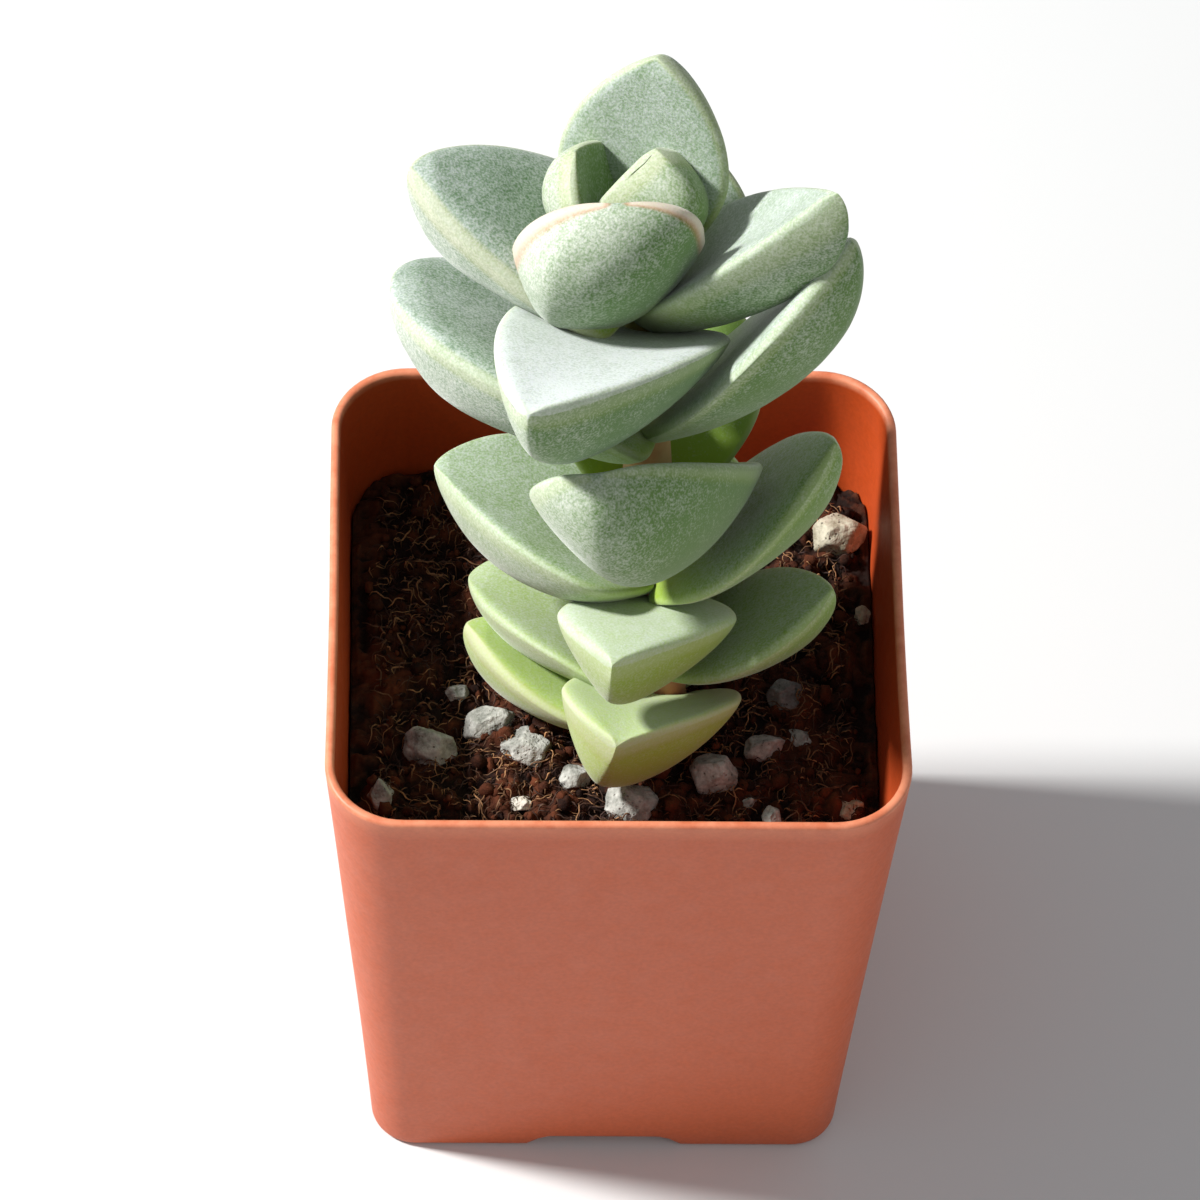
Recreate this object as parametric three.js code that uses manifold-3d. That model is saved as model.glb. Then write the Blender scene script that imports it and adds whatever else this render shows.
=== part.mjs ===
// A moonglow crassula in its square nursery pot.
// Millimetres, +Z up, the viewer's side is -Y. The origin is on the floor under the middle of the pot.

import * as THREE from 'three';
import { mergeVertices } from 'three/addons/utils/BufferGeometryUtils.js';
import Module from 'manifold-3d';

const wasm = await Module();
wasm.setup();

// Pot
const potTop = 57; // outside width at the rim, a 2 1/4 inch pot
const potBottom = 48;
const potHeight = 63.5;
const rimRadius = 7.7; // corner radius of the square at the rim
const footRadius = 4.6; // and at the floor
const wall = 0.9;
const rimFlare = 0.4; // the two front corners of the rim stand out a little
const archWidth = 14; // air gap between the corner feet
const archHeight = 1.4;
const floorTop = 2.8;
const drainRadius = 3.5;
const drainReach = 14; // how far the outer drain holes lie from the middle

// Soil and stones
const soilTop = 49.3; // 14 mm below the rim
const soilSteps = 32; // points round the soil, a multiple of 8 so that one falls on each corner
const soilRings = 7;
const seat = 0.3; // clearance left where two pieces meet
const smallestStep = 0.03; // finer steps than this are smoothed out of what is cut

// Plant: it stands a little in front of the middle and leans back and to the left
const plantBase = new THREE.Vector3(4.6, -5.5, 49.5);
const leanBack = 15;
const leanLeft = 3.6;
const stemLength = 60;
const stemRoot = 20; // length of stem in the soil
const stemFoot = 3.4; // radius at the bottom end
const stemTip = 1.1;

// Leaf section: steps along the leaf and across each face
const alongSteps = 9;
const acrossSteps = 8;
const marginHeight = 1.1; // the upper face rounds down by this much to the margin
const marginSharpness = 8; // the higher, the narrower the rounding

// Leaves, from the innermost ones down. The numbers of a row, in millimetres and degrees:
// - height of the node up the stem
// - turn about the stem, seen from above, with 0 to the right and 90 to the back
// - slope at the base and at the tip
// - length, width and thickness
// - form: sideways bend of the tip, sideways place of the keel as a share of the half width, turn round the
//   leaf's own middle line, and rise of the margins over the middle as a share of the half width
// - outline, where it isn't the usual one: how far along the leaf is widest, width at the base as a share
//   of that, fullness of the tip, softness of the keel, and height and sharpness of the rounding at the
//   margin where it is broader than usual
const usualOutline = [0.42, 0.5, 0, 0.16];
const leaves = [
  ['leaf_02_back', 57.5, 73, [79, 87], [21, 17.5, 6], [1.8, 0.1, 6, 0.12]],
  ['leaf_01_right', 59.3, 323, [76, 79], [12, 13.8, 6.6], [0.5, -0.15, 13, 0.29], [0.32, 0.5, -0.1, 0.5]],
  ['leaf_01_left', 59.2, 185, [50, 86], [12.5, 16, 4.6], [-1, -0.38, 20, 0.3], [0.1, 0.67, 0.3, 0.4]],
  ['leaf_02_front', 53.8, 241, [32, 82], [20.3, 19, 6.4], [-4, 0.53, -24, 0.28], [0.47, 0.47, 1, 0.85]],
  ['leaf_03_left', 55, 190, [42, 19], [24.3, 19.5, 10], [3.6, 0, 20, 0.02], [0.15, 0.5, 0.13, 0.18, 1.8, 5]],
  ['leaf_03_right', 51.3, 343, [45, 45], [30.5, 15.5, 7], [7, 0.4, 0, 0.26], [0.32, 0.4, -0.24, 0.4]],
  ['leaf_04_front', 48.1, 260, [35, 5], [30, 21, 10], [5.4, 0.13, 5, 0.26], [0.32, 0.45, 0, 0.5]],
  ['leaf_04_back', 47.5, 85, [44, 52], [20, 20, 7.5], [2.6, 0.15, 0, 0.08]],
  ['leaf_05_left', 38.5, 187, [43, 18], [26.7, 26, 8.8], [5.8, -0.07, -3, 0.17], [0.16, 0.5, 0.83, 0.18, 1.8, 5]],
  ['leaf_05_right', 38.8, 340, [41, 59], [34, 22, 6.2], [2, 0.15, 5, 0.02]],
  ['leaf_06_front', 27.3, 284, [28, 62], [28.8, 22, 8.6], [9.5, 0.3, 3, 0.45], [0.34, 0.78, 0.8, 0.2, 2.2, 4]],
  ['leaf_06_back', 28, 86, [35, 47], [24, 20.5, 8], [2.7, 0.15, 0, 0.08]],
  ['leaf_07_left', 19.4, 183, [36, 9], [22.2, 20.5, 7.4], [7, -0.12, 5, 0.3], [0.39, 0.4, 0, 0.27]],
  ['leaf_07_right', 19, 351, [38, 53], [26, 21, 4.8], [1.6, 0.1, 1, 0.04]],
  ['leaf_08_front', 16.3, 274, [29, -2], [17, 17.5, 8.5], [5.2, 0.13, 7, 0.03], [0.42, 0.45, -0.3, 0.35]],
  ['leaf_08_back', 14.5, 77, [23, 35], [18, 16, 6.5], [3, 0.15, 0, 0.08]],
  ['leaf_09_left', 6.5, 161, [34, 0], [21, 18.5, 5.5], [2.3, -0.16, -4, 0.3], [0.17, 0.57, 0.3, 0.33]],
  ['leaf_09_right', 9, 352, [26, 36], [20.5, 17, 4.8], [2.1, 0.05, 1.5, 0.05]],
  ['leaf_10_front', 3.1, 279, [42, -4], [15.4, 17.8, 8.5], [6.6, 0.34, 13, 0.31], [0.53, 0.51, -0.3, 0.35]],
  ['leaf_10_back', 5.2, 77, [20, 32], [16, 15, 6], [3, 0.15, 0, 0.08]],
  ['leaf_11_left', 1.6, 178, [21, 32], [20.5, 15, 5.8], [2.6, 0.18, -3, 0.09]],
].map(([name, node, turn, lift, size, form, outline = usualOutline]) => {
  return { name, node, turn, lift, size, form, outline };
});

// Stones: where the middle lies, length, width and height, turn about the vertical, and how they differ
const stones = [
  { at: [23.2, 18.0], size: [5.6, 4.4, 4.4], turn: 20, seed: 1 },
  { at: [25.3, 7.8], size: [1.8, 1.6, 2.4], turn: 60, seed: 2 },
  { at: [-18.4, -9.0], size: [5.2, 3.8, 4.2], turn: -15, seed: 3 },
  { at: [-23.2, -15.2], size: [2.6, 3.4, 3.8], turn: 10, seed: 4 },
  { at: [-12.4, -6.4], size: [5.2, 3.6, 3.6], turn: 12, seed: 5 },
  { at: [-8.6, -9.2], size: [5.0, 4.6, 3.4], turn: -35, seed: 6 },
  { at: [-3.9, -12.4], size: [3.2, 2.8, 2.4], turn: 40, seed: 7 },
  { at: [-9.5, -15.4], size: [2.9, 1.7, 1.4], turn: 8, seed: 8 },
  { at: [1.6, -16.0], size: [5.2, 4.6, 3.4], turn: -10, seed: 9 },
  { at: [9.8, -12.4], size: [5.0, 4.0, 4.2], turn: -12, seed: 10 },
  { at: [15.0, -9.0], size: [4.2, 2.6, 2.6], turn: 18, seed: 11 },
  { at: [18.6, -7.4], size: [3.0, 2.2, 2.2], turn: -20, seed: 12 },
  { at: [17.3, -2.6], size: [3.9, 3.4, 3.4], turn: 30, seed: 13 },
  { at: [15.6, -17.4], size: [1.8, 2.4, 2.2], turn: 15, seed: 14 },
  { at: [23.4, -16.2], size: [2.6, 2.2, 2.0], turn: 50, seed: 15 },
  { at: [-15.6, -2.6], size: [2.2, 2.0, 2.0], turn: 0, seed: 16 },
  { at: [1.6, -20.6], size: [2.6, 2.0, 1.8], turn: -25, seed: 17 },
  { at: [13.4, -15.0], size: [1.8, 1.2, 1.2], turn: 35, seed: 18 },
];
const stoneFacets = 11; // flat faces that bound each stone

const materials = {
  pot: new THREE.MeshStandardMaterial({ color: '#c0603f', roughness: 0.5, metalness: 0 }),
  soil: new THREE.MeshStandardMaterial({ color: '#3a2318', roughness: 0.95, metalness: 0 }),
  stone: new THREE.MeshStandardMaterial({ color: '#b9b6ac', roughness: 0.9, metalness: 0 }),
  stem: new THREE.MeshStandardMaterial({ color: '#b0694f', roughness: 0.7, metalness: 0 }),
  youngLeaf: new THREE.MeshStandardMaterial({ color: '#a9bba6', roughness: 0.75, metalness: 0 }),
  oldLeaf: new THREE.MeshStandardMaterial({ color: '#bccb98', roughness: 0.7, metalness: 0 }),
};

const radians = THREE.MathUtils.degToRad;

// A closed body from loops of equally many points, with a fan to a point at each end
function closedBody(loops, startPoint, endPoint) {
  const count = loops[0].length;
  const positions = [];
  const index = [];
  for (const loop of loops) {
    for (const point of loop) {
      positions.push(point.x, point.y, point.z);
    }
  }
  const first = loops.length * count;
  positions.push(startPoint.x, startPoint.y, startPoint.z);
  positions.push(endPoint.x, endPoint.y, endPoint.z);
  for (let row = 0; row < loops.length - 1; row++) {
    for (let k = 0; k < count; k++) {
      const a = row * count + k;
      const b = row * count + ((k + 1) % count);
      index.push(a, b, b + count, a, b + count, a + count);
    }
  }
  const last = (loops.length - 1) * count;
  for (let k = 0; k < count; k++) {
    const next = (k + 1) % count;
    index.push(first, next, k);
    index.push(first + 1, last + k, last + next);
  }
  const geometry = new THREE.BufferGeometry();
  geometry.setAttribute('position', new THREE.Float32BufferAttribute(positions, 3));
  geometry.setIndex(index);
  if (signedVolume(geometry) < 0) {
    index.reverse();
    geometry.setIndex(index);
  }
  return geometry;
}

// Six times the volume that the faces enclose, below zero when they point inwards
function signedVolume(geometry) {
  const position = geometry.attributes.position;
  const corners = [new THREE.Vector3(), new THREE.Vector3(), new THREE.Vector3()];
  let sum = 0;
  for (let k = 0; k < geometry.index.count; k += 3) {
    corners.forEach((corner, n) => corner.fromBufferAttribute(position, geometry.index.getX(k + n)));
    sum += corners[0].dot(corners[1].cross(corners[2]));
  }
  return sum;
}

function middleOf(loop) {
  const middle = new THREE.Vector3();
  loop.forEach((point) => middle.add(point));
  return middle.divideScalar(loop.length);
}

// A three.js geometry as a solid that can be cut
function solidOf(geometry) {
  const bare = geometry.clone();
  bare.deleteAttribute('normal');
  bare.deleteAttribute('uv');
  const merged = mergeVertices(bare, 1e-4);
  const mesh = new wasm.Mesh({
    numProp: 3,
    vertProperties: new Float32Array(merged.attributes.position.array),
    triVerts: new Uint32Array(merged.index.array),
  });
  return new wasm.Manifold(mesh);
}

// The largest body of a solid as a three.js geometry, without the scraps that a cut can leave
function geometryOf(solid, step = smallestStep) {
  const bodies = solid.decompose();
  bodies.sort((a, b) => b.volume() - a.volume());
  const mesh = bodies[0].simplify(step).getMesh();
  const geometry = new THREE.BufferGeometry();
  geometry.setAttribute('position', new THREE.Float32BufferAttribute(mesh.vertProperties, 3));
  geometry.setIndex(new THREE.Uint32BufferAttribute(mesh.triVerts, 1));
  geometry.computeVertexNormals();
  return geometry;
}

// The same geometry with every vertex moved out along its normal
function swollen(geometry, distance) {
  const bare = geometry.clone();
  bare.deleteAttribute('normal');
  bare.deleteAttribute('uv');
  const merged = mergeVertices(bare, 1e-4);
  merged.computeVertexNormals();
  const position = merged.attributes.position;
  const normal = merged.attributes.normal;
  for (let k = 0; k < position.count; k++) {
    position.setXYZ(
      k,
      position.getX(k) + normal.getX(k) * distance,
      position.getY(k) + normal.getY(k) * distance,
      position.getZ(k) + normal.getZ(k) * distance,
    );
  }
  return merged;
}

// Fraction of the pot's height, for what tapers with it
const up = (z) => z / potHeight;
const sideAt = (z) => THREE.MathUtils.lerp(potBottom, potTop, up(z));
const radiusAt = (z) => THREE.MathUtils.lerp(footRadius, rimRadius, up(z));

// A square with round corners, at height z
function squareLoop(side, radius, z) {
  const cornerSteps = 5;
  const reach = side / 2 - radius;
  const loop = [];
  for (let corner = 0; corner < 4; corner++) {
    const middle = Math.PI / 4 + (corner * Math.PI) / 2;
    const x = Math.sign(Math.cos(middle)) * reach;
    const y = Math.sign(Math.sin(middle)) * reach;
    for (let k = 0; k <= cornerSteps; k++) {
      const angle = (corner * Math.PI) / 2 + (k / cornerSteps) * (Math.PI / 2);
      const point = new THREE.Vector3(x + radius * Math.cos(angle), y + radius * Math.sin(angle), z);
      loop.push(flared(point));
    }
  }
  return loop;
}

// The front corners of the rim stand out, most at the top and nothing at the foot
function flared(point) {
  const forward = Math.max(0, (-2 * point.y) / potTop);
  const out = rimFlare * forward * forward * Math.pow(up(point.z), 3);
  return new THREE.Vector3(point.x * (1 + (2 * out) / potTop), point.y, point.z);
}

function potSolid() {
  const innerSide = (z) => sideAt(z) - 2 * wall;
  const innerRadius = (z) => radiusAt(z) - wall;
  const loops = [
    squareLoop(potBottom - 1.4, footRadius - 0.7, 0),
    squareLoop(sideAt(0.8), radiusAt(0.8), 0.8),
    squareLoop(sideAt(32), radiusAt(32), 32),
    squareLoop(sideAt(52), radiusAt(52), 52),
    squareLoop(potTop, rimRadius, potHeight - 0.3),
    squareLoop(potTop - 0.6, rimRadius - 0.3, potHeight),
    squareLoop(potTop - 1.5, rimRadius - 0.75, potHeight),
    squareLoop(innerSide(potHeight), innerRadius(potHeight), potHeight - 0.3),
    squareLoop(innerSide(52), innerRadius(52), 52),
    squareLoop(innerSide(32), innerRadius(32), 32),
    squareLoop(innerSide(floorTop + 1), innerRadius(floorTop + 1), floorTop + 1),
    squareLoop(innerSide(floorTop) - 1.6, innerRadius(floorTop) - 0.8, floorTop),
  ];
  const shell = closedBody(loops, new THREE.Vector3(0, 0, 0), new THREE.Vector3(0, 0, floorTop));
  let pot = solidOf(shell);

  // Arches between the four corner feet
  const arch = new THREE.BoxGeometry(archWidth, potTop, 2 * archHeight);
  pot = pot.subtract(solidOf(arch));
  pot = pot.subtract(solidOf(arch.clone().rotateZ(Math.PI / 2)));

  // One drain hole in the middle and one in each arch
  for (const [x, y] of [[0, 0], [1, 0], [-1, 0], [0, 1], [0, -1]]) {
    const hole = new THREE.CylinderGeometry(drainRadius, drainRadius, 10, 16).rotateX(Math.PI / 2);
    hole.translate(x * drainReach, y * drainReach, 0);
    pot = pot.subtract(solidOf(hole));
  }
  return pot;
}

// Distance from the middle to the edge of a rounded square, in a direction
function squareReach(side, radius, angle) {
  const c = Math.abs(Math.cos(angle));
  const s = Math.abs(Math.sin(angle));
  const half = side / 2;
  const flat = half - radius;
  if (s * half <= c * flat) return half / c;
  if (c * half <= s * flat) return half / s;
  const along = flat * (c + s);
  return along + Math.sqrt(along * along - 2 * flat * flat + radius * radius);
}

// Height of the soil: a few crossing waves, with a dip at the pot wall
function soilHeight(x, y, edge) {
  const broad = 0.55 * Math.sin(0.31 * x + 1.1) * Math.sin(0.27 * y + 0.4);
  const lumps = 0.45 * Math.sin(0.83 * x - 0.35 * y) * Math.sin(0.71 * y + 0.29 * x + 2.0);
  const crumbs = 0.25 * Math.sin(1.9 * x + 0.6 * y + 1.3) * Math.sin(1.7 * y - 0.4 * x);
  return soilTop + broad + lumps + crumbs - 0.9 * Math.pow(edge, 6);
}

function soilSolid() {
  const outline = (z, share) => {
    const side = sideAt(z) - 2 * wall - 2 * seat;
    const radius = radiusAt(z) - wall - seat;
    const loop = [];
    for (let k = 0; k < soilSteps; k++) {
      const angle = (k / soilSteps) * 2 * Math.PI;
      const reach = share * squareReach(side, radius, angle);
      loop.push(new THREE.Vector3(reach * Math.cos(angle), reach * Math.sin(angle), z));
    }
    return loop;
  };
  const loops = [
    outline(floorTop + seat, 0.94),
    outline(floorTop + seat + 1.2, 1),
    outline(soilTop - 3, 1),
  ];
  for (let ring = 0; ring < soilRings; ring++) {
    const share = 1 - Math.pow(ring / soilRings, 1.15);
    const loop = outline(soilTop - 1.5, share);
    loop.forEach((point) => point.setZ(soilHeight(point.x, point.y, share)));
    loops.push(loop);
  }
  const bottom = new THREE.Vector3(0, 0, floorTop + seat);
  const top = new THREE.Vector3(0, 0, soilHeight(0, 0, 0));
  return solidOf(closedBody(loops, bottom, top));
}

// A repeatable number from 0 to 1
function chance(n) {
  const wave = Math.sin(n * 12.9898 + 4.1) * 43758.5453;
  return wave - Math.floor(wave);
}

// A stone is a ball cut down by flat faces: in each direction it reaches as far as the nearest face lets it
function stoneGeometry(stone) {
  const faces = [];
  for (let k = 0; k < stoneFacets; k++) {
    const z = 1 - (2 * (k + 0.5)) / stoneFacets;
    const angle = 2.4 * k + 6.28 * chance(stone.seed);
    const ring = Math.sqrt(1 - z * z);
    const normal = new THREE.Vector3(ring * Math.cos(angle), ring * Math.sin(angle), z);
    normal.x += 0.5 * (chance(stone.seed * 7 + k) - 0.5);
    normal.y += 0.5 * (chance(stone.seed * 11 + k) - 0.5);
    normal.normalize();
    faces.push({ normal, distance: 0.78 + 0.2 * chance(stone.seed * 3 + k * 5) });
  }
  const ball = new THREE.IcosahedronGeometry(1, 1);
  const position = ball.attributes.position;
  const direction = new THREE.Vector3();
  for (let k = 0; k < position.count; k++) {
    direction.fromBufferAttribute(position, k).normalize();
    let reach = 1.12;
    for (const face of faces) {
      const facing = direction.dot(face.normal);
      if (facing > 0.05) reach = Math.min(reach, face.distance / facing);
    }
    direction.multiplyScalar(reach / 2);
    direction.multiply(new THREE.Vector3(...stone.size));
    position.setXYZ(k, direction.x, direction.y, direction.z);
  }
  return ball;
}

// Stones are set a little over half out of the soil
function stonePlace(stone) {
  const [x, y] = stone.at;
  const z = soilHeight(x, y, 0) + 0.12 * stone.size[2];
  return new THREE.Matrix4().makeRotationZ(radians(stone.turn)).setPosition(x, y, z);
}

// Half width of a leaf along its length: broad and clasping at the base, widest before the middle,
// then drawn in to a blunt point
function widthShare(s, widest, base, full) {
  if (s < widest) return base + (1 - base) * Math.sin((Math.PI / 2) * (s / widest));
  return Math.pow(1 - Math.pow((s - widest) / (1 - widest), 1.9 + full), 1 / (1.25 + full));
}

// Depth of the keel along the leaf: deepest past the middle, then round up to the tip
function depthShare(s) {
  const base = 0.5;
  const deepest = 0.6;
  if (s < deepest) return base + (1 - base) * Math.sin((Math.PI / 2) * (s / deepest));
  return Math.pow(1 - Math.pow((s - deepest) / (1 - deepest), 2.2), 1 / 1.7);
}

// How far down the underside reaches at u, which runs from -1 to 1 across the leaf, with the keel at k
function keelShare(u, k, soft) {
  const v = u > k ? (u - k) / (1 - k) : (k - u) / (1 + k);
  const ridge = (Math.sqrt(v * v + soft * soft) - soft) / (Math.sqrt(1 + soft * soft) - soft);
  return Math.pow(Math.max(0, 1 - Math.pow(ridge, 1.15)), 1 / 1.35);
}

// A leaf in the plant's own frame: a nearly flat upper face and a keeled underside that meet in the margin.
// Its middle line starts beside the stem and curves from the first lift to the second.
function leafGeometry(leaf) {
  const [length, width, thick] = leaf.size;
  const [sickle, keel, roll, cup] = leaf.form;
  const [widest, base, full, soft, margin = marginHeight, crisp = marginSharpness] = leaf.outline;
  const turn = radians(leaf.turn);
  const out = new THREE.Vector3(Math.cos(turn), Math.sin(turn), 0);
  const side = new THREE.Vector3(Math.sin(turn), -Math.cos(turn), 0);
  const upward = new THREE.Vector3(0, 0, 1);
  const middle = new THREE.Vector3(0, 0, leaf.node).addScaledVector(out, 0.6);
  const loops = [];
  let s = 0;
  for (let row = 0; row <= alongSteps; row++) {
    const next = 1 - Math.pow(1 - row / alongSteps, 1.35);
    const slope = radians(THREE.MathUtils.lerp(leaf.lift[0], leaf.lift[1], (s + next) / 2));
    middle.addScaledVector(out, length * (next - s) * Math.cos(slope));
    middle.addScaledVector(upward, length * (next - s) * Math.sin(slope));
    s = next;
    const lift = radians(THREE.MathUtils.lerp(leaf.lift[0], leaf.lift[1], s));
    const face = upward.clone().multiplyScalar(Math.cos(lift)).addScaledVector(out, -Math.sin(lift));
    const across = side.clone().multiplyScalar(Math.cos(radians(roll)));
    across.addScaledVector(face, Math.sin(radians(roll)));
    face.multiplyScalar(Math.cos(radians(roll))).addScaledVector(side, -Math.sin(radians(roll)));
    const half = (width / 2) * widthShare(s, widest, base, full);
    const depth = thick * depthShare(s);
    const lip = Math.min(margin, 0.3 * depth);
    const centre = middle.clone().addScaledVector(across, sickle * Math.pow(s, 1.8));
    const rise = (u) => half * cup * (1 - 0.5 * s) * u * u + 0.5 * lip;
    const rounding = (u) => 1 - Math.sqrt(1 - Math.pow(Math.abs(u), crisp));
    const top = (u) => rise(u) + 0.05 * half * s * (1 - u * u) - lip * rounding(u);
    const bottom = (u) => rise(u) - lip - (depth - lip) * keelShare(u, keel, soft);
    const place = (u, height) =>
      centre.clone().addScaledVector(across, half * u).addScaledVector(face, height(u));
    const loop = [];
    for (let k = 0; k < acrossSteps; k++) {
      const u = Math.cos((Math.PI * k) / acrossSteps);
      loop.push(place(u, top));
    }
    for (let k = 0; k < acrossSteps; k++) {
      const u = -Math.cos((Math.PI * k) / acrossSteps);
      loop.push(place(u, bottom));
    }
    loops.push(loop);
  }
  const tip = middleOf(loops.pop());
  return closedBody(loops, middleOf(loops[0]), tip);
}

// The stem in the plant's own frame, tapering to the growing point
function stemGeometry() {
  const profile = [
    new THREE.Vector2(0, -stemRoot),
    new THREE.Vector2(stemFoot - 0.8, -stemRoot),
    new THREE.Vector2(stemFoot, -stemRoot + 3),
    new THREE.Vector2(stemFoot - 0.1, 0.35 * stemLength),
    new THREE.Vector2(stemFoot - 0.6, 0.7 * stemLength),
    new THREE.Vector2(stemTip, stemLength),
    new THREE.Vector2(0, stemLength + 0.6),
  ];
  return new THREE.LatheGeometry(profile, 14).rotateX(Math.PI / 2);
}

function namedMesh(name, geometry, material) {
  const mesh = new THREE.Mesh(geometry, material);
  mesh.name = name;
  return mesh;
}

const pottedPlant = new THREE.Group();
const plant = new THREE.Group();
plant.rotation.set(radians(-leanBack), radians(-leanLeft), 0, 'YXZ');
plant.position.copy(plantBase);
plant.updateMatrix();
pottedPlant.add(plant);

// Stem and leaves. A leaf ends at a plane just off the stem's middle, so that the two of a pair stay apart,
// and gives way to the stem and to every leaf above it that presses into its upper face.
const stem = stemGeometry();
plant.add(namedMesh('stem', stem, materials.stem));
const stemSpace = solidOf(swollen(stem, seat));
const above = [];
for (const leaf of leaves) {
  const turn = radians(leaf.turn);
  const whole = leafGeometry(leaf);
  let body = solidOf(whole).trimByPlane([Math.cos(turn), Math.sin(turn), 0], 0.2);
  body = body.subtract(stemSpace);
  for (const upper of above) {
    body = body.subtract(upper);
  }
  const geometry = geometryOf(body);
  const material = leaf.node > 16 ? materials.youngLeaf : materials.oldLeaf;
  plant.add(namedMesh(leaf.name, geometry, material));
  above.push(solidOf(swollen(whole, seat)));
}

// Stones, cut where a low leaf lies on them, and the soil with a pit for each and a hole for the stem
const lowLeaves = leaves.filter((leaf) => leaf.node < 12);
const spaceOf = (geometry) => solidOf(swollen(geometry, seat).applyMatrix4(plant.matrix));
const leafSpaces = lowLeaves.map((leaf) => spaceOf(leafGeometry(leaf)));
let soil = soilSolid().subtract(spaceOf(stem));
for (const space of leafSpaces) {
  soil = soil.subtract(space);
}
stones.forEach((stone, number) => {
  const place = stonePlace(stone);
  let body = solidOf(stoneGeometry(stone).applyMatrix4(place));
  for (const space of leafSpaces) {
    body = body.subtract(space);
  }
  soil = soil.subtract(solidOf(swollen(stoneGeometry(stone).applyMatrix4(place), seat)));
  const name = `stone_${String(number + 1).padStart(2, '0')}`;
  pottedPlant.add(namedMesh(name, geometryOf(body), materials.stone));
});
pottedPlant.add(namedMesh('soil', geometryOf(soil, 2 * smallestStep), materials.soil));
pottedPlant.add(namedMesh('pot', geometryOf(potSolid()), materials.pot));

export default pottedPlant;
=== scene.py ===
# A moonglow crassula in its square nursery pot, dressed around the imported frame.
# Blender 4.5, metres, +Z up, the viewer's side is -Y. Sizes in the dictionaries are millimetres.

import math

import bpy
import numpy as np
from mathutils import Matrix, Vector


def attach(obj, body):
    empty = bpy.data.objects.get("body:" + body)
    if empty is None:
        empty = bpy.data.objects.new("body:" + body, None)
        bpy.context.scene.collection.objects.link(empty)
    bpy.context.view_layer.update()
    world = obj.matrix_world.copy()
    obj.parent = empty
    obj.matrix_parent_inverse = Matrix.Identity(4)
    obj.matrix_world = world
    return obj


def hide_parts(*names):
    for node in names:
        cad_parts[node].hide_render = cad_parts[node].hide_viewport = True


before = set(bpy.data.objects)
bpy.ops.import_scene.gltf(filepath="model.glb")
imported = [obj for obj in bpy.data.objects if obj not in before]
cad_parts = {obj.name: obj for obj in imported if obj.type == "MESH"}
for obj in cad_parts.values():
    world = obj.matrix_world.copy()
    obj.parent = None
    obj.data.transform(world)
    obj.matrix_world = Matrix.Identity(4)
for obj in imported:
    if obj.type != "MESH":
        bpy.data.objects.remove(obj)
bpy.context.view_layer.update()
mm = 0.001
print("frame loaded,", len(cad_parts), "nodes")


# Camera: a long lens that looks down on the pot from the front, aimed at a point above the floor
camera = {
    "target": (0, 0, 30),
    "distance": 800,
    "elevation": 53,
    "yaw": 2.4,
    "roll": 2.27,
    "offset": (-0.827, 19.4),  # sideways and upward, so that pot and plant fill the frame
    "lens": 234.3,
    "sensor": 36,
}


def placeCamera(c):
    yaw, tilt, roll = (math.radians(c[k]) for k in ("yaw", "elevation", "roll"))
    right = np.array([math.cos(yaw), -math.sin(yaw), 0])
    up = np.array([math.sin(yaw) * math.sin(tilt), math.cos(yaw) * math.sin(tilt), math.cos(tilt)])
    ahead = math.cos(tilt)
    forward = np.array([math.sin(yaw) * ahead, math.cos(yaw) * ahead, -math.sin(tilt)])
    localX = right * math.cos(roll) + up * math.sin(roll)
    localY = up * math.cos(roll) - right * math.sin(roll)
    place = np.array(c["target"]) - forward * c["distance"]
    place = place + c["offset"][0] * localX + c["offset"][1] * localY
    data = bpy.data.cameras.new("camera")
    data.lens = c["lens"]
    data.sensor_width = c["sensor"]
    data.clip_start = 0.05
    data.clip_end = 20
    looker = bpy.data.objects.new("camera", data)
    turned = Matrix(np.column_stack([localX, localY, -forward]).tolist()).to_4x4()
    turned.translation = (place * mm).tolist()
    looker.matrix_world = turned
    bpy.context.collection.objects.link(looker)
    bpy.context.scene.camera = looker


placeCamera(camera)
print("camera placed")


# Meshes from arrays

def buildMesh(name, points, quads, triangles=(), smooth=True):
    # Vertices in millimetres and corner numbers go into the mesh as whole arrays
    quads = np.asarray(quads, int).reshape(-1, 4)
    triangles = np.asarray(triangles, int).reshape(-1, 3)
    corners = np.concatenate([quads.ravel(), triangles.ravel()])
    counts = np.concatenate([np.full(len(quads), 4), np.full(len(triangles), 3)])
    mesh = bpy.data.meshes.new(name)
    mesh.vertices.add(len(points))
    mesh.vertices.foreach_set("co", (np.asarray(points, float) * mm).ravel())
    mesh.loops.add(len(corners))
    mesh.loops.foreach_set("vertex_index", corners)
    mesh.polygons.add(len(counts))
    mesh.polygons.foreach_set("loop_start", np.concatenate([[0], np.cumsum(counts)[:-1]]))
    mesh.polygons.foreach_set("use_smooth", np.full(len(counts), smooth))
    mesh.update(calc_edges=True)
    return mesh


def addPiece(name, mesh, material, nodes=()):
    piece = bpy.data.objects.new(name, mesh)
    bpy.context.collection.objects.link(piece)
    mesh.materials.append(material)
    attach(piece, "root")
    if nodes:
        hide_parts(*nodes)
    return piece


def setAttribute(mesh, name, values):
    field = mesh.attributes.new(name, "FLOAT", "POINT")
    field.data.foreach_set("value", np.asarray(values, float).ravel())


def ringQuads(rows, columns):
    # Quads between neighbouring rings, the last column joined to the first
    row = np.arange(rows - 1)[:, None] * columns
    here = np.arange(columns)[None, :]
    after = (here + 1) % columns
    quads = np.stack([row + here, row + after, row + columns + after, row + columns + here], -1)
    return quads.reshape(-1, 4)


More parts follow.
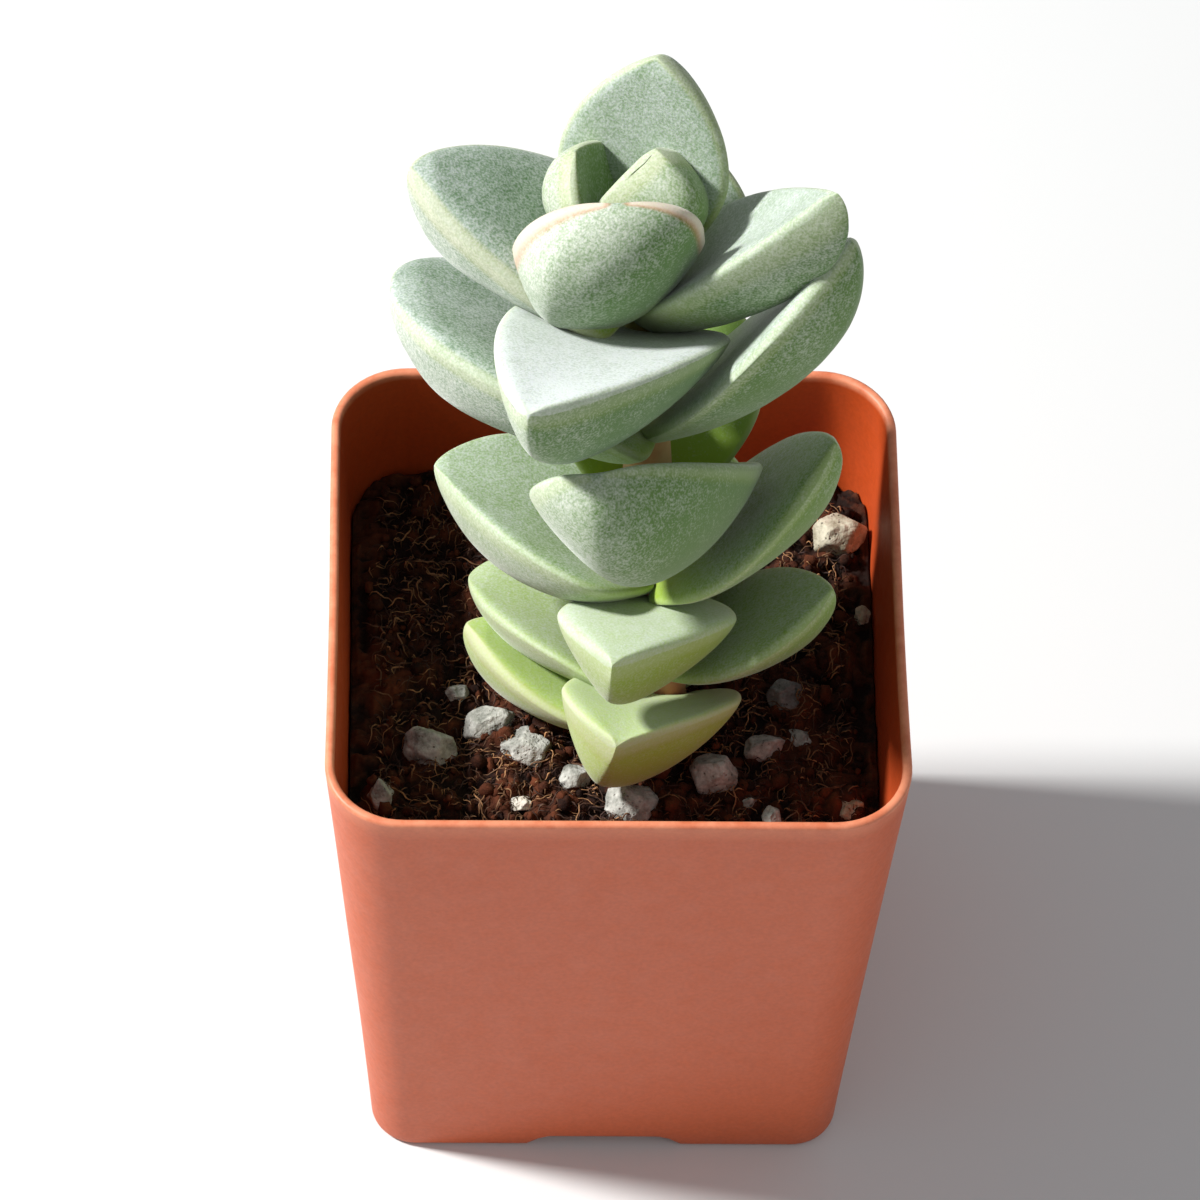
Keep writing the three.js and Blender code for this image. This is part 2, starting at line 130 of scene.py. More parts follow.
def closedRings(rings, startPole, endPole):
    # A closed body from a stack of rings with a fan to a point at each end, turned to face outwards
    rows, columns = rings.shape[:2]
    points = np.concatenate([rings.reshape(-1, 3), [startPole, endPole]])
    quads = ringQuads(rows, columns)
    here = np.arange(columns)
    after = (here + 1) % columns
    first = rows * columns
    startFan = np.stack([np.full(columns, first), after, here], -1)
    lastRow = (rows - 1) * columns
    endFan = np.stack([np.full(columns, first + 1), lastRow + here, lastRow + after], -1)
    triangles = np.concatenate([startFan, endFan])
    split = np.concatenate([quads[:, [0, 1, 2]], quads[:, [0, 2, 3]], triangles])
    a, b, c = (points[split[:, k]] for k in range(3))
    if np.sum(a * np.cross(b, c)) < 0:
        quads = quads[:, ::-1]
        triangles = triangles[:, ::-1]
    return points, quads, triangles


def blendNoise(points, cell, seed):
    # Smooth random numbers from -1 to 1: every corner of a lattice of side cell has its own number,
    # blended by smoothstep between the eight corners round a point
    scaled = np.asarray(points, float) / cell
    low = np.floor(scaled)
    part = scaled - low
    part = part * part * (3 - 2 * part)
    total = np.zeros(scaled.shape[:-1])
    for k in range(8):
        step = np.array([k & 1, (k >> 1) & 1, (k >> 2) & 1])
        number = np.sin((low + step) @ np.array([127.1, 311.7, 74.7]) + 53.3 * seed) * 43758.5453
        number = 2 * (number - np.floor(number)) - 1
        total += number * np.prod(np.where(step == 1, part, 1 - part), -1)
    return total


def smoothStep(low, high, x):
    t = np.clip((x - low) / (high - low), 0, 1)
    return t * t * (3 - 2 * t)


# Materials. In a colour mix, input 6 shows where input 0 is 0 and input 7 where it is 1.

colorMix = {"data_type": "RGBA"}
colorMultiply = {"data_type": "RGBA", "blend_type": "MULTIPLY"}


def linearColor(hexText):
    # sRGB hex to the linear values that shaders take
    parts = [int(hexText[k:k + 2], 16) / 255 for k in (1, 3, 5)]
    return [p / 12.92 if p <= 0.04045 else ((p + 0.055) / 1.055) ** 2.4 for p in parts] + [1.0]


def addNode(tree, kind, settings, inputs):
    # settings are the node's own properties; an input takes a fixed value or another node's output
    node = tree.nodes.new(kind)
    for key, value in settings.items():
        setattr(node, key, value)
    for key, value in inputs.items():
        if isinstance(value, bpy.types.NodeSocket):
            tree.links.new(value, node.inputs[key])
        elif isinstance(value, str):
            node.inputs[key].default_value = linearColor(value)
        else:
            node.inputs[key].default_value = value
    return node


def newMaterial(name, surface):
    # surface holds the shader's fixed values
    material = bpy.data.materials.new(name)
    material.use_nodes = True
    tree = material.node_tree
    tree.nodes.clear()
    shader = addNode(tree, "ShaderNodeBsdfPrincipled", {}, surface)
    addNode(tree, "ShaderNodeOutputMaterial", {}, {"Surface": shader.outputs[0]})
    place = addNode(tree, "ShaderNodeTexCoord", {}, {}).outputs["Object"]
    return material, tree, shader, place


# Pot: moulded polypropylene, satin, with faint flow marks and dust

pot = {
    "top": 57,
    "bottom": 48,
    "height": 63.5,
    "rimRadius": 7.7,
    "footRadius": 4.6,
    "wall": 0.9,
    "rimFlare": 0.4,
    "floorTop": 2.8,
    "archHalf": 7.0,  # half the width of the air gap between two feet
    "archHeight": 1.4,
    "archRound": 1.4,  # how softly a foot ends
    "drainRadius": 3.5,
    "drainReach": 14,
    "cornerSteps": 14,
    "sideSteps": 34,
    "wave": 0.05,  # unevenness of the moulded walls
    "outside": "#BA5630",
    "outsideWarm": "#C25E38",
    # painted shade: the inside colour is a deeper, darker red than the outside plastic
    "inside": "#BC4A1D",
    "edge": "#DD8B68",
}


def potMaterial():
    # Moulded polypropylene: an even satin terracotta orange, a little lighter in patches along the rim,
    # with the inner walls in a deeper, darker red that is painted shade
    material, tree, shader, place = newMaterial(
        "mouldedPolypropylene", {"IOR": 1.49, "Specular IOR Level": 0.45})
    broad = addNode(tree, "ShaderNodeTexNoise", {},
                    {"Vector": place, "Scale": 60.0, "Detail": 3.0}).outputs["Fac"]
    fine = addNode(tree, "ShaderNodeTexNoise", {},
                   {"Vector": place, "Scale": 2200.0, "Detail": 2.0}).outputs["Fac"]
    patchNoise = addNode(tree, "ShaderNodeTexNoise", {},
                    {"Vector": place, "Scale": 420.0, "Detail": 5.0, "Roughness": 0.7}).outputs["Fac"]
    rim = addNode(tree, "ShaderNodeAttribute", {"attribute_name": "rim"}, {}).outputs["Fac"]
    inner = addNode(tree, "ShaderNodeAttribute", {"attribute_name": "inner"}, {}).outputs["Fac"]
    wall = addNode(tree, "ShaderNodeMix", colorMix,
                   {0: broad, 6: pot["outside"], 7: pot["outsideWarm"]}).outputs[2]
    # Painted shade: the inner walls take pot inside, a deeper and darker red than the outside
    wall = addNode(tree, "ShaderNodeMix", colorMix, {0: inner, 6: wall, 7: pot["inside"]}).outputs[2]
    grain = addNode(tree, "ShaderNodeMapRange", {}, {
        "Value": fine, "From Min": 0.3, "From Max": 0.7, "To Min": 0.93, "To Max": 1.06}).outputs[0]
    wall = addNode(tree, "ShaderNodeMix", colorMultiply, {0: 1.0, 6: wall, 7: grain}).outputs[2]
    # The top of the rim is lighter in noisy patches
    lighterRim = addNode(tree, "ShaderNodeMapRange", {}, {
        "Value": patchNoise, "From Min": 0.35, "From Max": 0.6, "To Min": 0.35, "To Max": 0.9}).outputs[0]
    lighterRim = addNode(tree, "ShaderNodeMath", {"operation": "MULTIPLY"}, {0: lighterRim, 1: rim}).outputs[0]
    color = addNode(tree, "ShaderNodeMix", colorMix, {0: lighterRim, 6: wall, 7: pot["edge"]}).outputs[2]
    tree.links.new(color, shader.inputs["Base Color"])
    gloss = addNode(tree, "ShaderNodeMapRange", {}, {
        "Value": patchNoise, "From Min": 0.3, "From Max": 0.7, "To Min": 0.42, "To Max": 0.56}).outputs[0]
    tree.links.new(gloss, shader.inputs["Roughness"])
    bump = addNode(tree, "ShaderNodeBump", {}, {"Height": fine, "Strength": 0.18, "Distance": 0.00006})
    tree.links.new(bump.outputs[0], shader.inputs["Normal"])
    return material


def squareLoops(side, radius, z):
    # Rounded squares, one for each height: straight sides joined by quarter circles.
    # The front corners of the rim stand out, most at the top and nothing at the foot.
    corner = np.linspace(0, math.pi / 2, pot["cornerSteps"] + 1)
    share = np.linspace(-1, 1, pot["sideSteps"] + 1)[1:-1]
    side, radius, z = (np.asarray(v, float)[:, None] for v in (side, radius, z))
    reach = side / 2 - radius
    parts = []
    for k in range(4):
        angle = corner + k * math.pi / 2
        middle = math.pi / 4 + k * math.pi / 2
        parts.append(np.stack([np.sign(math.cos(middle)) * reach + radius * np.cos(angle),
                               np.sign(math.sin(middle)) * reach + radius * np.sin(angle)], -1))
        facing = (k + 1) * math.pi / 2
        x = side / 2 * math.cos(facing) - reach * share * math.sin(facing)
        y = side / 2 * math.sin(facing) + reach * share * math.cos(facing)
        parts.append(np.stack([x, y], -1))
    flat = np.concatenate(parts, 1)
    forward = np.clip(-2 * flat[..., 1] / pot["top"], 0, None)
    out = pot["rimFlare"] * forward ** 2 * (z / pot["height"]) ** 3
    x = flat[..., 0] * (1 + 2 * out / pot["top"])
    return np.stack([x, flat[..., 1], np.broadcast_to(z, x.shape)], -1)


def archLift(x, y):
    # The sole rises in a cross between the four feet, with soft ends
    half, soft = pot["archHalf"], pot["archRound"]
    across = np.maximum(1 - smoothStep(half - soft / 2, half + soft / 2, np.abs(x)),
                        1 - smoothStep(half - soft / 2, half + soft / 2, np.abs(y)))
    return pot["archHeight"] * across


def potSide(z):
    # Outside width and corner radius at a height
    side = pot["bottom"] + (pot["top"] - pot["bottom"]) * z / pot["height"]
    radius = pot["footRadius"] + (pot["rimRadius"] - pot["footRadius"]) * z / pot["height"]
    return side, radius


def makePot():
    height, wall = pot["height"], pot["wall"]
    profile = []  # distance in from the outside wall, height, and 1 where the row is inside the pot
    for share in np.linspace(0, 1, 8):
        profile.append((20 * (1 - share) ** 1.5 + 0.7, 0.0, 0))
    for turn in np.linspace(0.25, 1, 4) * math.pi / 2:
        profile.append((0.7 * (1 - math.sin(turn)), 0.8 * (1 - math.cos(turn)), 0))
    for z in np.linspace(2, height - 0.6, 30):
        profile.append((0.0, z, 0))
    for turn in np.linspace(0, 1, 6) * math.pi:
        profile.append((wall / 2 * (1 - math.cos(turn)), height - 0.35 + 0.35 * math.sin(turn), 0))
    for z in np.linspace(height - 1, pot["floorTop"] + 1, 30):
        profile.append((wall, z, 1))
    for share in np.linspace(0.15, 1, 8):
        profile.append((wall + 0.5 + 20 * share ** 1.5, pot["floorTop"], 1))
    inset, z, inside = (np.array(column, float) for column in zip(*profile))
    side, radius = potSide(z)
    rings = squareLoops(side - 2 * inset, np.clip(radius - inset * 0.8, 0.4, None), z)
    outer = inside < 0.5
    low = smoothStep(3.5, 0, rings[..., 2]) * outer[:, None]
    rings[..., 2] += low * archLift(rings[..., 0], rings[..., 1])
    away = rings[..., :2] / np.linalg.norm(rings[..., :2], axis=-1, keepdims=True)
    uneven = blendNoise(rings * [1, 1, 0.6], 11, 3) * pot["wave"]
    uneven -= pot["wave"]  # only inwards, so that the pot keeps its outside size
    rings[..., :2] += away * (uneven * smoothStep(0, 6, rings[..., 2]))[..., None]
    burrs = np.clip(blendNoise(rings, 0.9, 8) - 0.55, 0, 1)
    rings[..., 2] -= 0.35 * burrs * smoothStep(height - 0.5, height, rings[..., 2])
    startPole = (0, 0, pot["archHeight"])
    points, quads, triangles = closedRings(rings, startPole, (0, 0, pot["floorTop"]))
    mesh = buildMesh("pot_shell", points, quads, triangles)
    setAttribute(mesh, "rim", smoothStep(height - 1.0, height - 0.25, points[:, 2]))
    innerRows = np.repeat(inside, rings.shape[1])
    setAttribute(mesh, "inner", np.concatenate([innerRows, [0, 1]]))
    piece = addPiece("pot_shell", mesh, potMaterial(), ["pot"])
    drainHoles(piece)


def drainHoles(piece):
    # One hole in the middle of the floor and one in each arch
    turn = np.linspace(0, 2 * math.pi, 41)[:-1]
    for x, y in ((0, 0), (1, 0), (-1, 0), (0, 1), (0, -1)):
        ring = np.stack([pot["drainRadius"] * np.cos(turn) + x * pot["drainReach"],
                         pot["drainRadius"] * np.sin(turn) + y * pot["drainReach"]], -1)
        rings = np.stack([np.column_stack([ring, np.full(len(ring), z)]) for z in (-2.0, 6.0)])
        centre = (x * pot["drainReach"], y * pot["drainReach"])
        points, quads, triangles = closedRings(rings, (*centre, -2.0), (*centre, 6.0))
        cutter = bpy.data.objects.new("cutter", buildMesh("cutter", points, quads, triangles))
        bpy.context.collection.objects.link(cutter)
        cut = piece.modifiers.new("hole", "BOOLEAN")
        cut.operation = "DIFFERENCE"
        cut.object = cutter
        cut.solver = "EXACT"
        applyModifiers(piece)
        bpy.data.objects.remove(cutter)
    piece.data.shade_smooth()
    piece.data.set_sharp_from_angle(angle=math.radians(50))


def applyModifiers(piece):
    # The modifiers' result becomes the mesh itself
    seen = piece.evaluated_get(bpy.context.evaluated_depsgraph_get())
    finished = bpy.data.meshes.new_from_object(seen)
    piece.modifiers.clear()
    old = piece.data
    piece.data = finished
    bpy.data.meshes.remove(old)


makePot()
print("pot made")


# Soil: coir and peat, as a crumbly bed with loose crumbs and fibres on it

soil = {
    "top": 49.3,
    "bottom": 3.1,
    "clear": 0.3,
    "gridSteps": 276,
    "crumbs": 700,
    "fibres": 3700,
    "dark": "#1E0F09",
    "brown": "#703A20",
    "fibreDark": "#35190D",
    "fibreLight": "#B98759",
}


def soilHeight(x, y, edge=0.0):
    # The same few crossing waves as the solid, with a dip at the pot wall
    broad = 0.55 * np.sin(0.31 * x + 1.1) * np.sin(0.27 * y + 0.4)
    lumps = 0.45 * np.sin(0.83 * x - 0.35 * y) * np.sin(0.71 * y + 0.29 * x + 2.0)
    small = 0.25 * np.sin(1.9 * x + 0.6 * y + 1.3) * np.sin(1.7 * y - 0.4 * x)
    return soil["top"] + broad + lumps + small - 0.9 * edge ** 6


def crumbHeight(x, y):
    # Crumbs: the absolute value of smooth noise gives pillows with sharp creases between them,
    # added up at four sizes
    flat = np.stack([x, y, np.zeros_like(x)], -1)
    total = 0.0
    for cell, rise, seed in ((4.2, 1.3, 11), (2.0, 1.05, 12), (0.95, 0.6, 13), (0.45, 0.3, 14)):
        total = total + rise * (np.abs(blendNoise(flat + 40, cell, seed)) - 0.3)
    return total


def soilEdge(z):
    # Half width and corner radius of the soil at a height, just inside the pot
    side, radius = potSide(z)
    return (side - 2 * pot["wall"] - 2 * soil["clear"]) / 2, radius - pot["wall"] - soil["clear"]


def roundedGrid(steps, half, radius):
    # A square grid whose corner cells are pressed into quarter circles:
    # (a, b) in a corner goes to (a * sqrt(1 - b * b / 2), b * sqrt(1 - a * a / 2))
    line = np.linspace(-half, half, steps)
    x, y = np.meshgrid(line, line, indexing="ij")
    flat = half - radius
    a = np.clip((np.abs(x) - flat) / radius, 0, 1)
    b = np.clip((np.abs(y) - flat) / radius, 0, 1)
    corner = (a > 0) & (b > 0)
    roundX = np.sign(x) * (flat + radius * a * np.sqrt(1 - b * b / 2))
    roundY = np.sign(y) * (flat + radius * b * np.sqrt(1 - a * a / 2))
    return np.where(corner, roundX, x), np.where(corner, roundY, y)


def soilMaterial():
    # Moist coir and peat, quite matt and red-brown; painted shade darkens the bed to almost black in the
    # gaps between the crumbs, with the tops of the crumbs lighter
    material, tree, shader, place = newMaterial(
        "coirAndPeat", {"Roughness": 0.85, "IOR": 1.4, "Specular IOR Level": 0.3})
    lift = addNode(tree, "ShaderNodeAttribute", {"attribute_name": "lift"}, {}).outputs["Fac"]
    patch = addNode(tree, "ShaderNodeTexNoise", {},
                    {"Vector": place, "Scale": 700.0, "Detail": 6.0, "Roughness": 0.75}).outputs["Fac"]
    mixed = addNode(tree, "ShaderNodeMath", {"operation": "MULTIPLY_ADD"},
                    {0: patch, 1: 1.1, 2: -0.45}).outputs[0]
    # lift darkens the bed's gaps, which is painted shade, and gives each loose crumb its own tone
    mixed = addNode(tree, "ShaderNodeMath", {"operation": "ADD", "use_clamp": True},
                    {0: mixed, 1: lift}).outputs[0]
    color = addNode(tree, "ShaderNodeMix", colorMix,
                    {0: mixed, 6: soil["dark"], 7: soil["brown"]}).outputs[2]
    tree.links.new(color, shader.inputs["Base Color"])
    bump = addNode(tree, "ShaderNodeBump", {}, {"Height": patch, "Strength": 0.9, "Distance": 0.0005})
    tree.links.new(bump.outputs[0], shader.inputs["Normal"])
    return material


def fibreMaterial():
    # Coconut fibre: dry, red-brown to straw-coloured, one tone to each fibre
    material, tree, shader, place = newMaterial("coconutFibre", {"Roughness": 0.7, "IOR": 1.5})
    tone = addNode(tree, "ShaderNodeAttribute", {"attribute_name": "tone"}, {}).outputs["Fac"]
    speck = addNode(tree, "ShaderNodeTexNoise", {},
                    {"Vector": place, "Scale": 1500.0, "Detail": 2.0}).outputs["Fac"]
    color = addNode(tree, "ShaderNodeMix", colorMix,
                    {0: tone, 6: soil["fibreDark"], 7: soil["fibreLight"]}).outputs[2]
    shade = addNode(tree, "ShaderNodeMapRange", {}, {
        "Value": speck, "From Min": 0.3, "From Max": 0.7, "To Min": 0.6, "To Max": 1.2}).outputs[0]
    color = addNode(tree, "ShaderNodeMix", colorMultiply, {0: 1.0, 6: color, 7: shade}).outputs[2]
    tree.links.new(color, shader.inputs["Base Color"])
    return material


def makeSoilBed(material):
    steps = soil["gridSteps"]
    half, radius = soilEdge(soil["top"])
    x, y = roundedGrid(steps, half, radius)
    edge = np.maximum(np.abs(x), np.abs(y)) / half
    lumps = crumbHeight(x, y)
    z = soilHeight(x, y, edge) + lumps * smoothStep(1.0, 0.97, edge)
    top = np.stack([x, y, z], -1).reshape(-1, 3)
    number = np.arange(steps * steps).reshape(steps, steps)
    quads = np.stack([number[:-1, :-1], number[1:, :-1], number[1:, 1:], number[:-1, 1:]], -1)
    quads = quads.reshape(-1, 4)
    border = np.concatenate([number[:-1, 0], number[-1, :-1], number[:0:-1, -1], number[0, :0:-1]])
    rings = [border]
    points = [top]
    count = len(top)
    for level in (soil["top"] - 3, 24.0, soil["bottom"] + 1.0, soil["bottom"]):
        newHalf, _ = soilEdge(level)
        ring = top[border] * [newHalf / half, newHalf / half, 0] + [0, 0, level]
        points.append(ring)
        rings.append(np.arange(len(border)) + count)
        count += len(border)
    points.append([[0, 0, soil["bottom"]]])
    walls = []
    for upper, lower in zip(rings[:-1], rings[1:]):
        walls.append(np.stack([upper, lower, np.roll(lower, -1), np.roll(upper, -1)], -1))
    last = rings[-1]
    fan = np.stack([np.full(len(last), count), np.roll(last, -1), last], -1)
    mesh = buildMesh("soil_bed", np.concatenate(points), np.concatenate([quads] + walls), fan)
    # Painted shade: lift falls with the bed's height, so the colour is darker the deeper a point lies
    # between the crumbs
    lift = np.zeros(count + 1)
    lift[:steps * steps] = smoothStep(-1.0, 1.3, lumps).ravel() * 0.9 - 0.3
    setAttribute(mesh, "lift", lift)
    addPiece("soil_bed", mesh, material, ["soil"])


def makeCrumbs(material):
    # Balls of 5 by 8 faces, each pushed in and out by noise, flattened, and half sunk in the bed
    random = np.random.default_rng(41)
    count = soil["crumbs"]
    half, _ = soilEdge(soil["top"])
    size = 0.25 + 0.6 * random.random(count) ** 3
    spot = random.uniform(-1, 1, (count, 2)) * (half - 1.5)
    polar = np.linspace(0.35, math.pi - 0.35, 5)[:, None]
    around = np.linspace(0, 2 * math.pi, 9)[None, :-1]
    ball = np.stack([np.sin(polar) * np.cos(around), np.sin(polar) * np.sin(around),
                     np.cos(polar) * np.ones_like(around)], -1)
    points, quads, triangles = closedRings(ball, (0, 0, 1), (0, 0, -1))
    body = points[None] * size[:, None, None] * random.uniform(0.7, 1.3, (count, 1, 3))
    body = body * (1 + 0.4 * blendNoise(points[None] * 3 + spot[:, None, :1] * 9, 1.1, 5))[..., None]
    z = soilHeight(spot[:, 0], spot[:, 1]) + crumbHeight(spot[:, 0], spot[:, 1]) + 0.25 * size
    body = body + np.column_stack([spot, z])[:, None, :]
    inside = cornerRoom(spot, half)
    base = (np.arange(inside.sum()) * len(points))[:, None, None]
    mesh = buildMesh("soil_crumbs", body[inside].reshape(-1, 3), (quads[None] + base).reshape(-1, 4),
                     (triangles[None] + base).reshape(-1, 3))
    tone = np.repeat(random.uniform(-0.15, 0.65, count)[inside], len(points))
    setAttribute(mesh, "lift", tone)
    addPiece("soil_crumbs", mesh, material)


def cornerRoom(spot, half):
    # True where a spot keeps 1.5 mm from the round corners of the pot
    _, radius = soilEdge(soil["top"])
    past = np.clip(np.abs(spot) - (half - radius), 0, None)
    return np.linalg.norm(past, axis=1) < radius - 1.5


def makeFibres(material):
    # Fibres: an arc of random length and bend with a little wave in it, on the bed's height plus a hop,
    # carried by a three-sided section
    random = np.random.default_rng(77)
    count, steps = soil["fibres"], 8
    half, _ = soilEdge(soil["top"])
    spot = random.uniform(-1, 1, (count, 2)) * (half - 2.5)
    inside = cornerRoom(spot, half - 1)
    spot = spot[inside]
    count = len(spot)
    length = 0.7 + 3.2 * random.random(count) ** 2.4
    heading = random.uniform(0, 2 * math.pi, count)
    bend = random.normal(0, 1.3, count)
    t = np.linspace(-0.5, 0.5, steps)[None, :]
    angle = heading[:, None] + bend[:, None] * t + 0.5 * np.sin(9 * t + heading[:, None] * 3)
    stepLength = (length / (steps - 1))[:, None]
    start = spot - length[:, None] / 2 * np.stack([np.cos(heading), np.sin(heading)], -1)
    x = start[:, :1] + np.cumsum(np.cos(angle) * stepLength, 1)
    y = start[:, 1:] + np.cumsum(np.sin(angle) * stepLength, 1)
    hop = random.uniform(0.1, 0.7, count)[:, None] * (1 - 4 * t * t)
    hop = hop + random.normal(0, 0.25, count)[:, None] * t * 2
    ground = soilHeight(x, y) + crumbHeight(x, y)
    z = 0.55 * ground + 0.45 * ground.mean(1, keepdims=True) + 0.12 + hop
    limit = half - 0.4
    path = np.stack([np.clip(x, -limit, limit), np.clip(y, -limit, limit), z], -1)
    thick = random.uniform(0.04, 0.11, count)[:, None] * (1 - 0.75 * (2 * np.abs(t)) ** 3)
    side = np.stack([-np.sin(angle), np.cos(angle), np.zeros_like(angle)], -1)
    rings = []
    for turn in (0, 2 * math.pi / 3, 4 * math.pi / 3):
        away = side * math.cos(turn) + np.array([0, 0, 1]) * math.sin(turn)
        rings.append(path + thick[..., None] * away)
    body = np.stack(rings, 2).reshape(count, -1, 3)
    quads = ringQuads(steps, 3)
    caps = np.array([[0, 2, 1], [steps * 3 - 3, steps * 3 - 2, steps * 3 - 1]])
    base = (np.arange(count) * steps * 3)[:, None, None]
    mesh = buildMesh("coir_fibres", body.reshape(-1, 3), (quads[None] + base).reshape(-1, 4),
                     (caps[None] + base).reshape(-1, 3))
    setAttribute(mesh, "tone", np.repeat(random.random(count) ** 2.4, steps * 3))
    addPiece("coir_fibres", mesh, material)


soilLook = soilMaterial()
makeSoilBed(soilLook)
makeCrumbs(soilLook)
makeFibres(fibreMaterial())
print("soil made")


# Stones: broken pumice, grey to off-white. Each has its middle, its size, its turn and the number that
# sets how it differs from the others, as in the solids.

stones = {
    1: {"at": (23.2, 18.0), "size": (5.6, 4.4, 4.4), "turn": 20, "look": "beige"},
    2: {"at": (25.3, 7.8), "size": (1.8, 1.6, 2.4), "turn": 60, "look": "beige"},
    3: {"at": (-18.4, -9.0), "size": (5.2, 3.8, 4.2), "turn": -15, "look": "grey"},
    4: {"at": (-23.2, -15.2), "size": (2.6, 3.4, 3.8), "turn": 10, "look": "grey"},
    5: {"at": (-12.4, -6.4), "size": (5.2, 3.6, 3.6), "turn": 12, "look": "grey"},
    6: {"at": (-8.6, -9.2), "size": (5.0, 4.6, 3.4), "turn": -35, "look": "grey"},
    7: {"at": (-3.9, -12.4), "size": (3.2, 2.8, 2.4), "turn": 40, "look": "grey"},
    8: {"at": (-9.5, -15.4), "size": (2.9, 1.7, 1.4), "turn": 8, "look": "white"},
    9: {"at": (1.6, -16.0), "size": (5.2, 4.6, 3.4), "turn": -10, "look": "grey"},
    10: {"at": (9.8, -12.4), "size": (5.0, 4.0, 4.2), "turn": -12, "look": "grey"},
    11: {"at": (15.0, -9.0), "size": (4.2, 2.6, 2.6), "turn": 18, "look": "grey"},
    12: {"at": (18.6, -7.4), "size": (3.0, 2.2, 2.2), "turn": -20, "look": "grey"},
    13: {"at": (17.3, -2.6), "size": (3.9, 3.4, 3.4), "turn": 30, "look": "dark"},
    14: {"at": (15.6, -17.4), "size": (1.8, 2.4, 2.2), "turn": 15, "look": "grey"},
    15: {"at": (23.4, -16.2), "size": (2.6, 2.2, 2.0), "turn": 50, "look": "beige"},
    16: {"at": (-15.6, -2.6), "size": (2.2, 2.0, 2.0), "turn": 0, "look": "grey"},
    17: {"at": (1.6, -20.6), "size": (2.6, 2.0, 1.8), "turn": -25, "look": "grey"},
    18: {"at": (13.4, -15.0), "size": (1.8, 1.2, 1.2), "turn": 35, "look": "grey"},
}
stoneFacets = 11
poreSoil = "#3A2C22"
stoneLooks = {
    "grey": {"light": "#C9C8BF", "dark": "#777870", "pits": 0.30},
    "beige": {"light": "#CFC8B2", "dark": "#857C66", "pits": 0.42},
    "white": {"light": "#ECE6DA", "dark": "#B8AD9C", "pits": 0.22},
    "dark": {"light": "#8E8F8B", "dark": "#565855", "pits": 0.30},
}


def stoneMaterial(name, look):
    # Pumice: chalky and matt, pitted with dark pores of about half a millimetre, with soil in them
    material, tree, shader, place = newMaterial(
        name + "Pumice", {"Roughness": 0.92, "IOR": 1.5, "Specular IOR Level": 0.25})
    cloud = addNode(tree, "ShaderNodeTexNoise", {},
                    {"Vector": place, "Scale": 500.0, "Detail": 5.0, "Roughness": 0.7}).outputs["Fac"]
    pores = addNode(tree, "ShaderNodeTexVoronoi", {},
                    {"Vector": place, "Scale": 1900.0}).outputs["Distance"]
    dust = addNode(tree, "ShaderNodeTexNoise", {},
                   {"Vector": place, "Scale": 2600.0, "Detail": 3.0}).outputs["Fac"]
    cloud = addNode(tree, "ShaderNodeMapRange", {},
                    {"Value": cloud, "From Min": 0.35, "From Max": 0.65}).outputs[0]
    color = addNode(tree, "ShaderNodeMix", colorMix,
                    {0: cloud, 6: look["dark"], 7: look["light"]}).outputs[2]
    pit = addNode(tree, "ShaderNodeMapRange", {}, {
        "Value": pores, "From Min": 0.12, "From Max": 0.3, "To Min": 1.0, "To Max": 0.0}).outputs[0]
    patchy = addNode(tree, "ShaderNodeMapRange", {},
                     {"Value": dust, "From Min": 0.42, "From Max": 0.62}).outputs[0]
    pit = addNode(tree, "ShaderNodeMath", {"operation": "MULTIPLY"}, {0: pit, 1: patchy}).outputs[0]
    seen = addNode(tree, "ShaderNodeMath", {"operation": "MULTIPLY"},
                   {0: pit, 1: 2 * look["pits"]}).outputs[0]
    color = addNode(tree, "ShaderNodeMix", colorMix, {0: seen, 6: color, 7: poreSoil}).outputs[2]
    tree.links.new(color, shader.inputs["Base Color"])
    rough = addNode(tree, "ShaderNodeMath", {"operation": "SUBTRACT"}, {0: dust, 1: pit}).outputs[0]
    bump = addNode(tree, "ShaderNodeBump", {}, {"Height": rough, "Strength": 0.7, "Distance": 0.00025})
    tree.links.new(bump.outputs[0], shader.inputs["Normal"])
    return material


def chance(n):
    wave = math.sin(n * 12.9898 + 4.1) * 43758.5453
    return wave - math.floor(wave)


